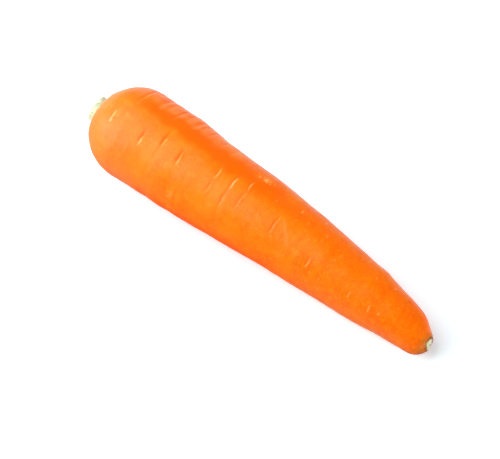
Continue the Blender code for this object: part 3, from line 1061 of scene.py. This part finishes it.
def floor_material(group):
    """A pale sheet with a faint glow, cool near the carrot and white far off.

    What it throws back onto the carrot is uneven. In the skin's gloss it is a little dimmer everywhere,
    and nearly gone far behind the carrot and in front of its tip half. Beneath the -Y side it throws
    back less light, which is warm along the middle of the root.
    """
    made, tree, shader = new_material("pale_floor", roughness=0.35)
    shader.inputs["Specular IOR Level"].default_value = 0.25
    shader.inputs["Emission Strength"].default_value = GLOW_STRENGTH
    place = add_node(tree, "ShaderNodeTexCoord").outputs["Object"]
    spot = add_node(tree, "ShaderNodeSeparateXYZ", {"Vector": place}).outputs
    distance = add_node(tree, "ShaderNodeVectorMath", {"Vector": place}, operation="LENGTH").outputs["Value"]
    rays = add_node(tree, "ShaderNodeLightPath").outputs
    glossy = rays["Is Glossy Ray"]

    def zone(coordinate, none_at, all_at):
        """A mask that goes from 0 to 1 between two places in millimetres."""
        return ramp(tree, coordinate, none_at * MM, all_at * MM)

    not_far_behind = zone(spot["Y"], 240, 140)
    by_tip_half = product(tree, zone(spot["Y"], -35, -75), zone(spot["X"], -25, 35))
    beneath = zone(spot["Y"], 6, -18)
    under_middle = product(tree, beneath, zone(spot["X"], -66, -50), zone(spot["X"], 45, 15))
    reflected = product(tree, inverse(tree, by_tip_half), not_far_behind)
    unseen = product(tree, glossy, inverse(tree, reflected), 0.92)
    loss = calculate(tree, "ADD", product(tree, glossy, 0.55), product(tree, rays["Is Diffuse Ray"], 0.30))
    dimmed = calculate(tree, "ADD", product(tree, loss, beneath), product(tree, glossy, 0.2))
    white = mix_colour(tree, mottle(tree, group, 60, detail=1.0), *SHEET_WHITE)
    colour = lay(tree, white, (0.0, 0.0, 0.0), calculate(tree, "MAXIMUM", unseen, dimmed))
    warmed = product(tree, under_middle, inverse(tree, rays["Is Camera Ray"]))
    colour = lay(tree, colour, UNDER_ROOT, warmed, 0.75)
    tree.links.new(colour, shader.inputs["Base Color"])
    glow_seen = mix_colour(tree, zone(distance, 260, 620), *GLOW_SEEN)
    glow = mix_colour(tree, rays["Is Camera Ray"], colour, glow_seen)
    tree.links.new(glow, shader.inputs["Emission Color"])
    return made


# -------------------------------- studio


CAMERA_AZIMUTH = math.radians(37.31)
CAMERA_ELEVATION = math.radians(62.2)
CAMERA_DISTANCE = 0.8  # metres
CAMERA_LENS = 125.16
CAMERA_AIM = Vector((1.4, 0.1, -6.4)) * MM  # from the model's middle
AIM_LEFT = 5.5  # millimetres: the carrot sits a little right of the middle of the frame
AIM_DOWN = 2.1
PANEL_STATION = 45  # millimetres from the crown end: what the round soft box shines at
FLOOR_HALF = 4.0  # metres from its middle to each edge
FLOOR_DROP = 0.02  # millimetres below the carrot
WORLD_LIGHT = 0.05  # what the world gives the carrot
WORLD_SEEN = 0.95  # what is added where the camera sees it


def direction(azimuth, elevation):
    """Unit vector from the object towards something at this bearing; azimuth 0 is at -Y, 90 at +X."""
    level = math.cos(elevation)
    return Vector((math.sin(azimuth) * level, -math.cos(azimuth) * level, math.sin(elevation)))


def look(obj, target):
    obj.rotation_mode = "QUATERNION"
    obj.rotation_quaternion = (target - obj.location).to_track_quat("-Z", "Y")


def add_object(name, data):
    made = bpy.data.objects.new(name, data)
    bpy.context.scene.collection.objects.link(made)
    return made


def make_camera(centre):
    data = bpy.data.cameras.new("studio_camera")
    data.sensor_width = 36.0
    data.lens = CAMERA_LENS
    camera = add_object("studio_camera", data)
    back = direction(CAMERA_AZIMUTH, CAMERA_ELEVATION)
    right = Vector((math.cos(CAMERA_AZIMUTH), math.sin(CAMERA_AZIMUTH), 0))
    up = back.cross(right)
    camera.location = centre + back * CAMERA_DISTANCE - right * AIM_LEFT * MM - up * AIM_DOWN * MM
    look(camera, camera.location - back)
    bpy.context.scene.camera = camera


def make_soft_light(name, azimuth, elevation, strength, spread, glossy=True):
    """A large soft light, far off at this bearing; strength 1 lights a facing white surface to white."""
    data = bpy.data.lights.new(name, "SUN")
    data.energy = strength * math.pi
    data.angle = math.radians(spread)
    light = add_object(name, data)
    light.location = direction(math.radians(azimuth), math.radians(elevation))
    look(light, Vector((0, 0, 0)))
    light.visible_glossy = glossy


def make_panel(name, azimuth, elevation, strength, distance, width, target):
    """A round soft box this many metres from a target, and this wide; strength as for a soft light."""
    data = bpy.data.lights.new(name, "AREA")
    data.shape = "DISK"
    data.size = width
    area = math.pi * width**2 / 4
    lit_share = (width / 2) ** 2 / ((width / 2) ** 2 + distance**2)
    data.energy = strength * 4 * area / lit_share
    light = add_object(name, data)
    light.location = target + direction(math.radians(azimuth), math.radians(elevation)) * distance
    look(light, target)


def make_floor(material):
    corners = [(x * FLOOR_HALF, y * FLOOR_HALF, 0) for x, y in ((-1, -1), (1, -1), (1, 1), (-1, 1))]
    mesh = bpy.data.meshes.new("floor")
    mesh.from_pydata(corners, [], [(0, 1, 2, 3)])
    mesh.materials.append(material)
    floor = add_object("floor", mesh)
    floor.location.z = -FLOOR_DROP * MM


def make_world():
    """A world that looks white, gives hardly any light, and doesn't show in reflections."""
    world = bpy.data.worlds.new("studio")
    bpy.context.scene.world = world
    world.use_nodes = True
    tree = world.node_tree
    background = tree.nodes["Background"].inputs
    rays = add_node(tree, "ShaderNodeLightPath").outputs
    light = calculate(tree, "MULTIPLY", inverse(tree, rays["Is Glossy Ray"]), WORLD_LIGHT)
    seen = calculate(tree, "MULTIPLY", rays["Is Camera Ray"], WORLD_SEEN)
    tree.links.new(calculate(tree, "ADD", light, seen), background["Strength"])
    background["Color"].default_value = (1.0, 1.0, 1.0, 1.0)


def make_studio(group):
    middle = (Vector(CAD_BOX[0]) + Vector(CAD_BOX[1])) / 2
    near_crown = Vector((ROOT_LOW.x + PANEL_STATION * MM, middle.y, middle.z))
    make_camera(middle + CAMERA_AIM)
    make_soft_light("left_low", azimuth=-55, elevation=16, strength=0.92, spread=60)
    make_panel(
        "left_high", azimuth=-58, elevation=56, strength=0.80, distance=0.60, width=0.84, target=near_crown
    )
    make_soft_light("right_low", azimuth=100, elevation=16, strength=0.80, spread=45, glossy=False)
    make_soft_light("back_low", azimuth=200, elevation=16, strength=0.22, spread=40, glossy=False)
    make_world()
    make_floor(floor_material(group))
    view = bpy.context.scene.view_settings
    view.view_transform = "Standard"
    view.look = "None"


def main():
    group = mottle_group()
    make_root(skin_material(group))
    make_stalks(stalk_material(group))
    fibre = fibre_material(group)
    make_shreds(fibre)
    make_tail_fibres(fibre)
    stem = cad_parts["crown_stem"]
    stem.data.materials.clear()
    stem.data.materials.append(stem_material(group))
    make_studio(group)


main()
